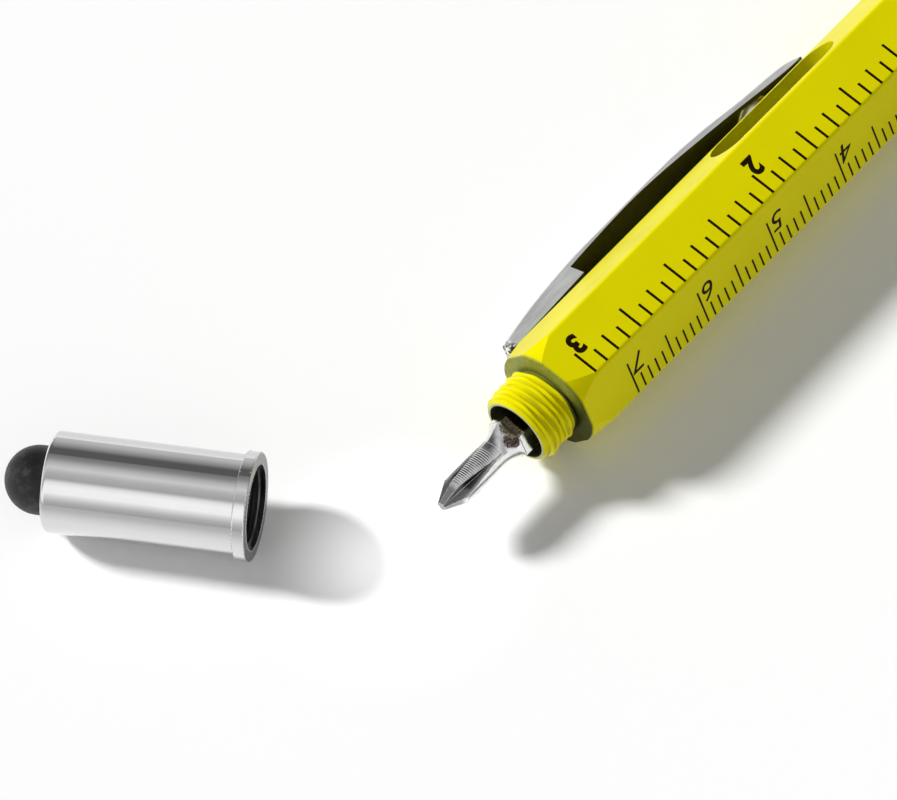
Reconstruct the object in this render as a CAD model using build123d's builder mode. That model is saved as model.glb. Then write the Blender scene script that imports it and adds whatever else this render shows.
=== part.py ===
from build123d import *
import os
from math import acos, asin, atan, atan2, cos, degrees, hypot, pi, radians, sin, sqrt, tan

# Multi tool pen: a six-sided barrel with two scales, a level window and a clip, a screwdriver bit in
# the threaded neck, a twist-action ballpoint at the other end, and a cap with a touch-screen tip.
# Millimetres. The origin is on the pen's axis, at the shoulder where the neck leaves the barrel.
# +X runs to the writing point and +Z is up. The pen lies on one ridge and on the edge of its clip,
# and the cap lies apart from it on the same surface.

# Fits
fixed_fit = 0.02          # radial clearance of pieces that stay put
running_fit = 0.05        # radial clearance of pieces that turn or slide
end_gap = 0.1             # gap between the end faces of pieces that turn past each other
overrun = 1.0             # how far a cut runs past the face that it opens

# Barrel
across_flats = 10.1
barrel_length = 86.0
ridge_radius = 0.5
end_radius = 5.2          # radius of the end faces, where the end cones begin
end_cone_angle = 11.2     # degrees, from the axis
neck_length = 4.47
neck_radius = 3.6         # root of the cap's thread
neck_chamfer = 0.3
relief_radius = 3.44      # groove between the thread and the shoulder
relief_length = 0.5
web_length = 5.35         # solid metal between the bit socket and the level
window_length = 16.9
window_width = 4.8

# Bit socket, magnet and bit
socket_radius = 3.04
socket_length = 22.3
socket_floor = 0.4
hex_hole_gap = 0.785      # how far the six-sided hole runs past the bit's six-sided body
round_hole_radius = 1.8
magnet_radius = 2.0
magnet_length = 1.85
bit_across_flats = 4.0
bit_length = 34.87
bit_hex_length = 17.3
shank_radius = 1.45
bit_hex_chamfer = 30.0    # degrees, slope of the chamfer at each end of the six-sided body
cross_end_radius = 0.45
cross_taper_length = 2.07
cross_flute_length = 7.3
cross_web_radius = 0.3    # how near to the axis the flutes come at the tip
cross_flute_angle = 92.0  # degrees
blade_thickness = 0.6
blade_length = 5.0

# Level
vial_length = 19.0
vial_radius = 2.98
vial_wall = 0.6
vial_plug_length = 1.1
bubble_radius = 1.15
bubble_length = 4.6
bubble_press = 0.12       # how flat the bubble lies against the tube

# Clip, its anchor, pin and spring
clip_width = 5.3
clip_sheet = 0.5
clip_edge_radius = 0.35
clip_tail = 1.87          # distance of the clip's tail from the shoulder
clip_length = 42.4
clip_height = 3.56        # highest point of the clip over its facet
clip_tail_round = 0.8
cheek_length = 10.79      # the deep part of the clip's sides
cheek_lift = 0.15         # gap under the cheeks at the tail
cheek_wedge = 3.1         # degrees, how far the cheeks open towards the tip
dimple_place = 35.83      # distance of the dimple from the tail
dimple_radius = 2.0
dimple_gap = 0.05         # gap between the dimple and the barrel
clip_line_shares = (      # the clip's back: shares of its length and of its height
    (0.0, 0.44),
    (0.122, 0.745),
    (0.276, 0.945),
    (0.44, 0.978),
    (0.587, 1.0),
    (0.715, 0.888),
    (0.833, 0.668),
    (0.93, 0.54),
    (0.978, 0.385),
    (1.0, 0.21),
)
flange_line_shares = (    # lower edge of the shallow sides, from the tip back to the cheeks
    (0.985, 0.15),
    (0.958, 0.17),
    (0.84, 0.38),
    (0.69, 0.632),
    (0.52, 0.835),
    (0.365, 0.8),
)
pin_place = 1.43          # distance of the pin from the clip's tail
pin_height = 0.7          # height of the pin over the facet
pin_radius = 0.3
pin_hold = 0.22           # how far each end of the pin enters the cheek
lug_thickness = 0.6
lug_radius = 0.5
lug_side_gap = 0.1
anchor_depth = 1.3
anchor_length = 2.4
spring_wire_radius = 0.1
spring_pitch = 0.65
spring_turns = 2
spring_leg = 0.75
spring_leg_slope = 30.0   # degrees, how steeply the front leg comes down to the barrel

# Twist mechanism
guide_radius = 3.48
guide_wall = 0.58
guide_floor = 1.0
guide_reach = 4.0         # how far the guide stands out of the barrel
cam_back_gap = 6.11       # gap between the guide's floor and the cam
cam_wall = 0.55
cam_collar_length = 5.7
collar_gap = 0.3
twist_range = 150.0       # degrees
feed_travel = 5.5
follower_length = 7.0
follower_pin_radius = 0.5
follower_pin_gap = 0.08
follower_floor = 1.2
slot_end_gap = 0.25

# Writing end
ring_length = 2.0
ring_radius = 4.6
ring_round = 0.3
grip_length = 17.9
grip_back_radius = 4.55
grip_front_radius = 4.3
groove_width = 0.5
groove_depth = 0.22
groove_count = 6
groove_pitch = 1.5
groove_start = 4.5
cone_length = 19.0
cone_bulge = 0.5          # how far the cone swells past a straight taper
cone_tip_radius = 1.85
mouth_radius = 1.25
mouth_length = 3.0
cone_bore_radius = 2.3
grip_bore_radius = 2.6
spigot_length = 3.5
spigot_radius = 3.3
refill_radius = 1.175
refill_wall = 0.35
refill_recess = 2.5       # how far the point lies inside the mouth when drawn in
point_length = 11.0
point_stub_length = 2.0
point_cone_length = 3.5
point_tip_radius = 0.45
ball_radius = 0.35
ball_show = 0.12
ink_start = 8.0

# Cap
cap_length = 19.2
cap_radius = 4.72
cap_wall = 0.72
cap_rear_wall = 0.8
cap_rear_round = 0.5
cap_flange_radius = 5.07
cap_flange_width = 1.2
cap_flange_round = 0.15
liner_wall = 0.33
liner_setback = 0.6       # how far the liner lies behind the mouth
liner_floor = 0.4
tip_radius = 3.22
tip_wall = 0.8
tip_lip_width = 0.7       # lip that holds the rubber tip behind the rear wall
tip_lip_length = 0.86
tip_reach = 4.3           # how far the rubber tip stands out of the cap
seat_plate = 0.6
seat_stem_radius = 1.5
seat_stem_length = 3.2
cap_turn = -60.62         # degrees, where the cap's mouth points, from +X towards +Y
cap_mouth_x = -25.37
cap_mouth_y = 13.29

# Places worked out from the sizes
apothem = across_flats / 2
corner_radius = apothem / cos(radians(30))
ridge_centre = (apothem - ridge_radius) / cos(radians(30))
cone_run = (corner_radius - end_radius) / tan(radians(end_cone_angle))
socket_bore_radius = socket_radius + fixed_fit
vial_bore_radius = vial_radius + fixed_fit
chamber_radius = guide_radius + fixed_fit
vial_start = socket_length + fixed_fit + web_length
vial_end = vial_start + vial_length
chamber_start = vial_end + fixed_fit
window_centre = (vial_start + vial_end) / 2
pin_x = clip_tail + pin_place
dimple_x = clip_tail + dimple_place
cheek_half = clip_width / 2 - clip_sheet
ring_end = barrel_length + ring_length
guide_end = barrel_length + guide_reach
grip_start = ring_end + end_gap
grip_end = grip_start + grip_length
nose_end = grip_end + cone_length
collar_start = guide_end + collar_gap
collar_end = collar_start + cam_collar_length
guide_bore_radius = guide_radius - guide_wall
cam_radius = guide_bore_radius - running_fit
cam_bore_radius = cam_radius - cam_wall
follower_radius = cam_bore_radius - running_fit
cam_start = chamber_start + guide_floor + cam_back_gap
follower_start = cam_start + follower_pin_radius
follower_pin_x = follower_start + follower_length / 2
refill_start = follower_start + follower_floor
refill_tip = nose_end - refill_recess
tube_end = refill_tip - point_length
magnet_start = socket_length - socket_floor - magnet_length
bit_end = magnet_start - running_fit
bit_tip = bit_end - bit_length
bit_hex_start = bit_tip + (bit_length - bit_hex_length) / 2
bit_hex_end = bit_hex_start + bit_hex_length
hex_hole_depth = bit_hex_end + hex_hole_gap

# How the pen lies: the ridge between the two lowest facets and the edge of the clip touch the surface.
ridge_angle = radians(210)
edge_side = clip_width / 2 - clip_edge_radius
edge_rise = apothem + clip_height - clip_edge_radius
edge_centre = hypot(edge_side, edge_rise)
edge_angle = radians(120) + atan(edge_side / edge_rise)
lean_across = ridge_centre * cos(ridge_angle) - edge_centre * cos(edge_angle)
lean_up = ridge_centre * sin(ridge_angle) - edge_centre * sin(edge_angle)
lean_step = acos((ridge_radius - clip_edge_radius) / hypot(lean_across, lean_up))
roll = degrees(atan2(lean_up, lean_across) + lean_step)
surface_z = ridge_centre * cos(ridge_angle - radians(roll)) - ridge_radius

# How the cap lies: its flange and the rounding of its rear end touch the surface.
rear_run = (cap_length - cap_rear_round) - (cap_flange_width - cap_flange_round)
rear_drop = (cap_flange_radius - cap_flange_round) - (cap_radius - cap_rear_round)
rear_span = hypot(rear_run, rear_drop)
cap_tilt = atan2(rear_drop, rear_run) + asin((cap_flange_round - cap_rear_round) / rear_span)
flange_side = cap_flange_width - cap_flange_round
flange_rise = cap_flange_radius - cap_flange_round
cap_mouth_z = surface_z + cap_flange_round + flange_side * sin(cap_tilt) + flange_rise * cos(cap_tilt)

# Facets, counted from the inch scale on top towards the far side
window_facet = 1
clip_facet = 2


def facet_normal(index):
    """Outward direction of a facet: 0 is the inch scale on top, counted towards the far side."""
    angle = radians(60 * index - roll)
    return Vector(0, sin(angle), cos(angle))


def facet_across(index):
    """Direction across a facet, towards the facet counted before it."""
    angle = radians(60 * index - roll)
    return Vector(0, -cos(angle), sin(angle))


def facet_plane(index, place, height):
    """Plane on a facet, local x along the pen, at a place along it and a height over the facet."""
    normal = facet_normal(index)
    return Plane(Vector(place, 0, 0) + normal * (apothem + height), x_dir=(1, 0, 0), z_dir=normal)


def side_plane(index, side=0.0):
    """Plane that stands on a facet along the pen: local x along the pen, local y over the facet."""
    across = facet_across(index)
    return Plane(facet_normal(index) * apothem + across * side, x_dir=(1, 0, 0), z_dir=across)


def over_clip_facet(place, height, side):
    """Point over the clip's facet: place along the pen, height over the facet, side across it."""
    over_facet = Vector(place, 0, 0) + facet_normal(clip_facet) * (apothem + height)
    return over_facet + facet_across(clip_facet) * side


def turned(*points):
    """Revolve a closed outline of places and radii about the pen's axis."""
    with BuildSketch(Plane.XZ) as outline:
        with BuildLine():
            Polyline(*points, close=True)
        make_face()
    revolve(outline.sketch, axis=Axis.X)


def rod(start, end, radius, mode=Mode.ADD):
    """Round bar, or round hole, on the pen's axis between two places."""
    with BuildSketch(Plane.YZ.offset(start)) as disc:
        Circle(radius)
    extrude(disc.sketch, amount=end - start, mode=mode)


def six_sided(start, end, flats, mode=Mode.ADD, rounding=0.0):
    """Six-sided bar or hole on the pen's axis, its sides parallel to the barrel's facets."""
    with BuildSketch(Plane.YZ.offset(start)) as hexagon:
        RegularPolygon(flats / 2, 6, major_radius=False, rotation=roll)
        if rounding:
            fillet(hexagon.vertices(), rounding)
    extrude(hexagon.sketch, amount=end - start, mode=mode)


# Barrel: six-sided bar with rounded ridges and a cone at each end, neck, bores, window and anchor pocket
with BuildPart() as barrel:
    six_sided(0, barrel_length, across_flats, rounding=ridge_radius)
    with BuildSketch(Plane.XZ):
        with BuildLine():
            Polyline(
                (0, 0),
                (0, end_radius),
                (cone_run, corner_radius),
                (barrel_length - cone_run, corner_radius),
                (barrel_length, end_radius),
                (barrel_length, 0),
                close=True,
            )
        make_face()
    revolve(axis=Axis.X, mode=Mode.INTERSECT)
    turned(
        (overrun, 0),
        (overrun, relief_radius),
        (-relief_length, relief_radius),
        (-relief_length, neck_radius),
        (neck_chamfer - neck_length, neck_radius),
        (-neck_length, neck_radius - neck_chamfer),
        (-neck_length, 0),
    )
    rod(-neck_length - overrun, socket_length + fixed_fit, socket_bore_radius, Mode.SUBTRACT)
    rod(vial_start, barrel_length + overrun, vial_bore_radius, Mode.SUBTRACT)
    rod(chamber_start, barrel_length + overrun, chamber_radius, Mode.SUBTRACT)
    with BuildSketch(facet_plane(window_facet, window_centre, 0)):
        SlotOverall(window_length, window_width)
    extrude(amount=-apothem, mode=Mode.SUBTRACT)
    with BuildSketch(facet_plane(clip_facet, pin_x, 0)):
        Rectangle(anchor_length, 2 * (cheek_half - lug_side_gap))
    extrude(amount=-anchor_depth, mode=Mode.SUBTRACT)
barrel.part.label = "barrel"

# Bit socket: sleeve with a six-sided hole, a round hole behind it and a seat for the magnet
with BuildPart() as bit_socket:
    rod(0, socket_length, socket_radius)
    six_sided(-overrun, hex_hole_depth, bit_across_flats + 2 * running_fit, Mode.SUBTRACT)
    rod(hex_hole_depth - overrun, magnet_start, round_hole_radius, Mode.SUBTRACT)
    rod(magnet_start, socket_length - socket_floor, magnet_radius + fixed_fit, Mode.SUBTRACT)
bit_socket.part.label = "bit_socket"

with BuildPart() as bit_magnet:
    rod(magnet_start, magnet_start + magnet_length - fixed_fit, magnet_radius)
bit_magnet.part.label = "bit_magnet"

# Bit: six-sided body with a shank at each end, one ground to a cross tip and one to a flat blade
bit_corner = bit_across_flats / 2 / cos(radians(30))
bit_chamfer_run = (bit_corner - shank_radius) * tan(radians(bit_hex_chamfer))
blade_start = bit_end - blade_length
flute_height = 2 * shank_radius
with BuildPart() as bit:
    six_sided(bit_hex_start, bit_hex_end, bit_across_flats)
    with BuildSketch(Plane.XZ):
        with BuildLine():
            Polyline(
                (bit_hex_start, 0),
                (bit_hex_start, shank_radius),
                (bit_hex_start + bit_chamfer_run, bit_corner),
                (bit_hex_end - bit_chamfer_run, bit_corner),
                (bit_hex_end, shank_radius),
                (bit_hex_end, 0),
                close=True,
            )
        make_face()
    revolve(axis=Axis.X, mode=Mode.INTERSECT)
    turned(
        (bit_tip, 0),
        (bit_tip, cross_end_radius),
        (bit_tip + cross_taper_length, shank_radius),
        (bit_end, shank_radius),
        (bit_end, 0),
    )
    for quarter in range(4):
        flute_angle = radians(90 * quarter + 45)
        flute_way = (0, cos(flute_angle), sin(flute_angle))
        flute_half = flute_height * tan(radians(cross_flute_angle / 2))
        for place, depth in ((bit_tip, cross_web_radius), (bit_tip + cross_flute_length, shank_radius)):
            with BuildSketch(Plane((place, 0, 0), x_dir=flute_way, z_dir=(1, 0, 0))):
                Polygon(
                    (depth, 0),
                    (depth + flute_height, -flute_half),
                    (depth + flute_height, flute_half),
                )
        loft(mode=Mode.SUBTRACT)
    with BuildSketch(Plane.XZ):
        for side in (1, -1):
            with BuildLine():
                Polyline(
                    (blade_start, side * shank_radius),
                    (bit_end, side * blade_thickness / 2),
                    (bit_end, side * shank_radius),
                    close=True,
                )
            make_face()
    extrude(amount=shank_radius, both=True, mode=Mode.SUBTRACT)
bit.part.label = "bit"

# Level: clear tube, coloured fluid with its bubble at the top, and a plug in each end
vial_bore = vial_radius - vial_wall
fluid_start = vial_start + vial_plug_length
fluid_end = vial_end - vial_plug_length
with BuildPart() as vial_tube:
    rod(vial_start, vial_end, vial_radius)
    rod(vial_start - overrun, vial_end + overrun, vial_bore, Mode.SUBTRACT)
vial_tube.part.label = "vial_tube"

bubble_rise = vial_bore - bubble_radius + bubble_press
bubble_side = bubble_length / 2 - bubble_radius
with BuildPart() as vial_fluid:
    rod(fluid_start, fluid_end, vial_bore - fixed_fit)
    with BuildSketch(Plane.YZ.offset(window_centre - bubble_side)):
        with Locations((0, bubble_rise)):
            Circle(bubble_radius)
    extrude(amount=2 * bubble_side, mode=Mode.SUBTRACT)
    with Locations((window_centre, 0, bubble_rise)):
        with Locations((-bubble_side, 0), (bubble_side, 0)):
            Sphere(bubble_radius, mode=Mode.SUBTRACT)
vial_fluid.part.label = "vial_fluid"

with BuildPart() as vial_plugs:
    rod(vial_start, fluid_start, vial_bore - fixed_fit)
    rod(fluid_end, vial_end, vial_bore - fixed_fit)
vial_plugs.part.label = "vial_plugs"


def clip_back(inset):
    """Points along the clip's back, or along the inside of its sheet when inset by it."""
    return [
        (clip_tail + inset + share * (clip_length - 2 * inset), rise_share * clip_height - inset)
        for share, rise_share in clip_line_shares
    ]


# Clip: pressed channel, deep cheeks at its tail, shallow sides to its tip and a dimple that rests on
# the barrel
cheek_end = clip_tail + cheek_length
cheek_end_lift = cheek_lift + (cheek_length - clip_tail_round) * tan(radians(cheek_wedge))
tail_point = (clip_tail, cheek_lift + clip_tail_round)
cheek_start = (clip_tail + clip_tail_round, cheek_lift)
flange_line = [
    (clip_tail + share * clip_length, rise_share * clip_height) for share, rise_share in flange_line_shares
]
flange_line.append((cheek_end, flange_line[-1][1] - clip_edge_radius))
with BuildPart() as clip:
    with BuildSketch(side_plane(clip_facet, -clip_width / 2)):
        with BuildLine():
            back = Spline(*clip_back(0))
            Line(back @ 1, flange_line[0])
            flange = Spline(*flange_line)
            step = Line(flange @ 1, (cheek_end, cheek_end_lift))
            cheek = Line(step @ 1, cheek_start)
            tail = RadiusArc(cheek @ 1, tail_point, clip_tail_round)
            Line(tail @ 1, back @ 0)
        make_face()
    extrude(amount=clip_width)
    back_face = clip.faces().sort_by(SortBy.AREA)[-1]
    fillet(back_face.edges().sort_by(SortBy.LENGTH)[-2:], clip_edge_radius)
    with BuildSketch(side_plane(clip_facet, -cheek_half)):
        with BuildLine():
            inside = Spline(*clip_back(clip_sheet))
            Polyline(
                inside @ 1,
                ((inside @ 1).X, -overrun),
                ((inside @ 0).X, -overrun),
                inside @ 0,
            )
        make_face()
    extrude(amount=2 * cheek_half, mode=Mode.SUBTRACT)
    dimple_centre = over_clip_facet(dimple_x, dimple_gap + dimple_radius, 0)
    with Locations(dimple_centre):
        Sphere(dimple_radius)
    with BuildSketch(side_plane(clip_facet, -clip_width)):
        with BuildLine():
            outside = Spline(*clip_back(0))
            Polyline(
                outside @ 1,
                ((outside @ 1).X, 2 * clip_height),
                ((outside @ 0).X, 2 * clip_height),
                outside @ 0,
            )
        make_face()
    extrude(amount=2 * clip_width, mode=Mode.SUBTRACT)
    with Locations(dimple_centre):
        Sphere(dimple_radius - clip_sheet, mode=Mode.SUBTRACT)
    with BuildSketch(side_plane(clip_facet, -(cheek_half + pin_hold + fixed_fit))):
        with Locations((pin_x, pin_height)):
            Circle(pin_radius + running_fit)
    extrude(amount=2 * (cheek_half + pin_hold + fixed_fit), mode=Mode.SUBTRACT)
clip.part.label = "clip"

# Clip anchor: block set into the barrel, with two lugs that carry the pin between the clip's cheeks
lug_side = cheek_half - lug_side_gap
with BuildPart() as clip_anchor:
    with BuildSketch(facet_plane(clip_facet, pin_x, -anchor_depth)):
        Rectangle(anchor_length - 2 * fixed_fit, 2 * (lug_side - fixed_fit))
    extrude(amount=anchor_depth)
    for side in (-lug_side + fixed_fit, lug_side - fixed_fit - lug_thickness):
        with BuildSketch(side_plane(clip_facet, side)):
            with Locations((pin_x, pin_height)):
                Circle(lug_radius)
            with Locations((pin_x, 0)):
                Rectangle(2 * lug_radius, pin_height, align=(Align.CENTER, Align.MIN))
        extrude(amount=lug_thickness)
    with BuildSketch(side_plane(clip_facet, -clip_width)):
        with Locations((pin_x, pin_height)):
            Circle(pin_radius + fixed_fit)
    extrude(amount=2 * clip_width, mode=Mode.SUBTRACT)
clip_anchor.part.label = "clip_anchor"

with BuildPart() as clip_pin:
    with BuildSketch(side_plane(clip_facet, -(cheek_half + pin_hold))):
        with Locations((pin_x, pin_height)):
            Circle(pin_radius)
    extrude(amount=2 * (cheek_half + pin_hold))
clip_pin.part.label = "clip_pin"

# Clip spring: wire wound on the pin. The short leg pushes the clip's tail up, the other one rests on
# the barrel, so the tip is pressed down.
coil_radius = pin_radius + running_fit + spring_wire_radius
web_rise = clip_back(0)[1][1] - clip_back(0)[0][1]
web_run = clip_back(0)[1][0] - clip_back(0)[0][0]
coil_start_angle = 90 + degrees(atan2(web_rise, web_run))
coil_end_angle = 90 - spring_leg_slope - 360 * spring_turns
coil_sweep = coil_start_angle - coil_end_angle
coil_width = spring_pitch * coil_sweep / 360


def coil_point(angle):
    """Point of the coil's centre line at an angle about the pin, wound towards the inch scale."""
    side = coil_width * (coil_start_angle - angle) / coil_sweep - coil_width / 2
    place = pin_x + coil_radius * cos(radians(angle))
    return over_clip_facet(place, pin_height + coil_radius * sin(radians(angle)), side)


def coil_way(angle):
    """Direction of the wire at an angle about the pin."""
    round_way = Vector(sin(radians(angle)), 0, 0) - facet_normal(clip_facet) * cos(radians(angle))
    rise = spring_pitch / (2 * pi * coil_radius)
    return (round_way + facet_across(clip_facet) * rise).normalized()


def joined_arcs(start, start_way, end, end_way):
    """Two arcs that leave one point in its direction and reach the other in its own."""
    ways = start_way + end_way
    gap = end - start
    blend = 2 * (1 - start_way.dot(end_way))
    reach = (sqrt(gap.dot(ways) ** 2 + blend * gap.dot(gap)) - gap.dot(ways)) / blend
    middle = (start + end + (start_way - end_way) * reach) * 0.5
    middle_way = ((end - end_way * reach) - (start + start_way * reach)).normalized()
    TangentArc(start, middle, tangent=start_way)
    TangentArc(middle, end, tangent=middle_way)


coil_steps = 4 * spring_turns
coil_angles = [coil_start_angle - coil_sweep * step / coil_steps for step in range(coil_steps + 1)]
back_leg_end = coil_point(coil_start_angle) - coil_way(coil_start_angle) * spring_leg
front_leg_drop = pin_height + coil_radius * sin(radians(coil_end_angle)) - spring_wire_radius - dimple_gap
front_leg = front_leg_drop / -coil_way(coil_end_angle).dot(facet_normal(clip_facet))
with BuildPart() as clip_spring:
    with BuildLine() as wire:
        Line(back_leg_end, coil_point(coil_start_angle))
        for angle, next_angle in zip(coil_angles, coil_angles[1:]):
            joined_arcs(coil_point(angle), coil_way(angle), coil_point(next_angle), coil_way(next_angle))
        front_start = coil_point(coil_end_angle)
        Line(front_start, front_start + coil_way(coil_end_angle) * front_leg)
    with BuildSketch(Plane(back_leg_end, z_dir=coil_way(coil_start_angle))):
        Circle(spring_wire_radius)
    sweep(path=wire.wires()[0])
clip_spring.part.label = "clip_spring"

points_per_turn = 72
turn_points = [
    coil_point(coil_start_angle - 360 * step / points_per_turn)
    for step in range(int(points_per_turn * coil_sweep / 360) + 1)
]
turn_gap = min(
    (first - second).length
    for place, first in enumerate(turn_points)
    for second in turn_points[place + points_per_turn // 2:]
)
print("gap between the spring's turns", round(turn_gap - 2 * spring_wire_radius, 3))

# Guide: closed tube fixed in the barrel, with a straight slot on each side for the follower's pins
slot_start = follower_pin_x - follower_pin_radius - slot_end_gap
slot_end = follower_pin_x + feed_travel + follower_pin_radius + slot_end_gap
slot_width = 2 * (follower_pin_radius + running_fit)
with BuildPart() as guide_sleeve:
    rod(chamber_start, guide_end, guide_radius)
    rod(chamber_start + guide_floor, guide_end + overrun, guide_bore_radius, Mode.SUBTRACT)
    with BuildSketch(Plane.XZ):
        with Locations(((slot_start + slot_end) / 2, 0)):
            SlotOverall(slot_end - slot_start, slot_width)
    extrude(amount=guide_radius + overrun, both=True, mode=Mode.SUBTRACT)
guide_sleeve.part.label = "guide_sleeve"

# Cam: tube that turns in the guide, with two curved slots that feed the follower, and a collar that
# is held in the grip
cam_lead = atan2(feed_travel, radians(twist_range) * cam_bore_radius)
cam_slot_width = slot_width / cos(cam_lead)
cam_slot_over = degrees(slot_width / 2 / cam_bore_radius)
cam_slot_steps = 13
with BuildPart() as twist_cam:
    rod(cam_start, collar_end, cam_radius)
    rod(collar_start, collar_end, guide_radius + running_fit - fixed_fit)
    rod(cam_start - overrun, collar_end + overrun, cam_bore_radius, Mode.SUBTRACT)
    for slot_side in (0, 180):
        for step in range(cam_slot_steps + 1):
            turned_by = (twist_range + 2 * cam_slot_over) * step / cam_slot_steps - cam_slot_over
            slot_angle = radians(slot_side - turned_by)
            slot_place = follower_pin_x + feed_travel * turned_by / twist_range
            with BuildSketch(Plane((0, 0, 0), x_dir=(1, 0, 0), z_dir=(0, -sin(slot_angle), cos(slot_angle)))):
                with Locations((slot_place, (cam_bore_radius + cam_radius) / 2)):
                    Rectangle(cam_slot_width, 2 * cam_wall)
        loft(ruled=True, mode=Mode.SUBTRACT)
twist_cam.part.label = "twist_cam"

# Follower: plug that holds the refill's tail, with a pin on each side through the cam into the guide
with BuildPart() as follower:
    rod(follower_start, follower_start + follower_length, follower_radius)
    with BuildSketch(Plane.XZ):
        with Locations((follower_pin_x, 0)):
            Circle(follower_pin_radius)
    extrude(amount=guide_radius - follower_pin_gap, both=True)
    rod(refill_start, follower_start + follower_length + overrun, refill_radius + fixed_fit, Mode.SUBTRACT)
follower.part.label = "follower"

# Refill: tube, ink, point and ball
stub_radius = refill_radius - refill_wall - fixed_fit
point_start = tube_end - point_stub_length
cone_start = refill_tip - ball_show - point_cone_length
ball_centre = refill_tip - ball_radius
with BuildPart() as refill_tube:
    rod(refill_start, tube_end, refill_radius)
    rod(refill_start - overrun, tube_end + overrun, refill_radius - refill_wall, Mode.SUBTRACT)
refill_tube.part.label = "refill_tube"

with BuildPart() as refill_ink:
    rod(refill_start + ink_start, point_start, stub_radius)
refill_ink.part.label = "refill_ink"

with BuildPart() as refill_point:
    turned(
        (point_start, 0),
        (point_start, stub_radius),
        (tube_end, stub_radius),
        (tube_end, refill_radius),
        (cone_start, refill_radius),
        (refill_tip - ball_show, point_tip_radius),
        (refill_tip - ball_show, 0),
    )
    with Locations((ball_centre, 0, 0)):
        Sphere(ball_radius + fixed_fit, mode=Mode.SUBTRACT)
refill_point.part.label = "refill_point"

with BuildPart() as refill_ball:
    with Locations((ball_centre, 0, 0)):
        Sphere(ball_radius)
refill_ball.part.label = "refill_ball"

# Writing end: fixed ring, grip with turned grooves, and cone
with BuildPart() as nose_ring:
    rod(barrel_length, ring_end, ring_radius)
    fillet(nose_ring.edges().filter_by(GeomType.CIRCLE), ring_round)
    rod(barrel_length - overrun, ring_end + overrun, guide_radius + fixed_fit, Mode.SUBTRACT)
nose_ring.part.label = "nose_ring"

grip_taper = (grip_back_radius - grip_front_radius) / grip_length
spigot_start = grip_end - spigot_length
with BuildPart() as nose_grip:
    turned(
        (grip_start, 0),
        (grip_start, grip_back_radius),
        (grip_end, grip_front_radius),
        (grip_end, 0),
    )
    for groove in range(groove_count):
        groove_place = groove_start + groove_pitch * groove
        groove_floor = grip_back_radius - grip_taper * groove_place - groove_depth
        with BuildSketch(Plane.XZ):
            with Locations((grip_start + groove_place, groove_floor)):
                Rectangle(groove_width, 2 * groove_depth, align=(Align.CENTER, Align.MIN))
        revolve(axis=Axis.X, mode=Mode.SUBTRACT)
    rod(grip_start - overrun, collar_end, guide_radius + running_fit, Mode.SUBTRACT)
    rod(collar_end - overrun, grip_end + overrun, grip_bore_radius, Mode.SUBTRACT)
    rod(spigot_start, grip_end + overrun, spigot_radius + fixed_fit, Mode.SUBTRACT)
nose_grip.part.label = "nose_grip"

with BuildPart() as nose_cone:
    with BuildSketch(Plane.XZ):
        with BuildLine():
            ThreePointArc(
                (grip_end, grip_front_radius),
                ((grip_end + nose_end) / 2, (grip_front_radius + cone_tip_radius) / 2 + cone_bulge),
                (nose_end, cone_tip_radius),
            )
            Polyline(
                (nose_end, cone_tip_radius),
                (nose_end, mouth_radius),
                (nose_end - mouth_length, mouth_radius),
                (nose_end - mouth_length - cone_bore_radius, cone_bore_radius),
                (spigot_start + fixed_fit, cone_bore_radius),
                (spigot_start + fixed_fit, spigot_radius),
                (grip_end, spigot_radius),
                (grip_end, grip_front_radius),
            )
        make_face()
    revolve(axis=Axis.X)
nose_cone.part.label = "nose_cone"

# Cap, lying apart: flanged shell, threaded liner, seat and rubber tip
turn_cosine = cos(radians(cap_turn))
turn_sine = sin(radians(cap_turn))
cap_way = Vector(-turn_cosine * cos(cap_tilt), -turn_sine * cos(cap_tilt), -sin(cap_tilt))
cap_mouth = Vector(cap_mouth_x, cap_mouth_y, cap_mouth_z)
cap_plane = Plane(cap_mouth, x_dir=cap_way, z_dir=(-turn_sine, turn_cosine, 0))
cap_axis = Axis(cap_mouth, cap_way)
cap_bore_radius = cap_radius - cap_wall
rear_inside = cap_length - cap_rear_wall
tip_lip_start = rear_inside - fixed_fit - tip_lip_length
seat_end = tip_lip_start - fixed_fit
liner_end = seat_end - seat_plate
cap_depth = liner_end - liner_floor
dome_start = cap_length + tip_reach - tip_radius


def cap_turned(*points):
    """Revolve a closed outline of depths behind the mouth and radii about the cap's axis."""
    with BuildSketch(cap_plane) as outline:
        with BuildLine():
            Polyline(*points, close=True)
        make_face()
    revolve(outline.sketch, axis=cap_axis)


with BuildPart() as cap_shell:
    with BuildSketch(cap_plane) as shell_outline:
        with BuildLine():
            Polyline(
                (0, cap_bore_radius),
                (0, cap_flange_radius),
                (cap_flange_width, cap_flange_radius),
                (cap_flange_width, cap_radius),
                (cap_length, cap_radius),
                (cap_length, tip_radius + fixed_fit),
                (rear_inside, tip_radius + fixed_fit),
                (rear_inside, cap_bore_radius),
                close=True,
            )
        make_face()
        corners = shell_outline.vertices()
        fillet(corners.filter_by(lambda corner: corner.Y > cap_radius + fixed_fit), cap_flange_round)
        rear_corners = shell_outline.vertices().filter_by(lambda corner: corner.Y > cap_radius - fixed_fit)
        fillet(rear_corners.sort_by(Axis.X)[-1], cap_rear_round)
    revolve(axis=cap_axis)
cap_shell.part.label = "cap_shell"

liner_radius = cap_bore_radius - fixed_fit
liner_bore_radius = liner_radius - liner_wall
with BuildPart() as cap_liner:
    cap_turned(
        (liner_setback, liner_bore_radius),
        (liner_setback, liner_radius),
        (liner_end, liner_radius),
        (liner_end, 0),
        (cap_depth, 0),
        (cap_depth, liner_bore_radius),
    )
cap_liner.part.label = "cap_liner"

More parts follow.
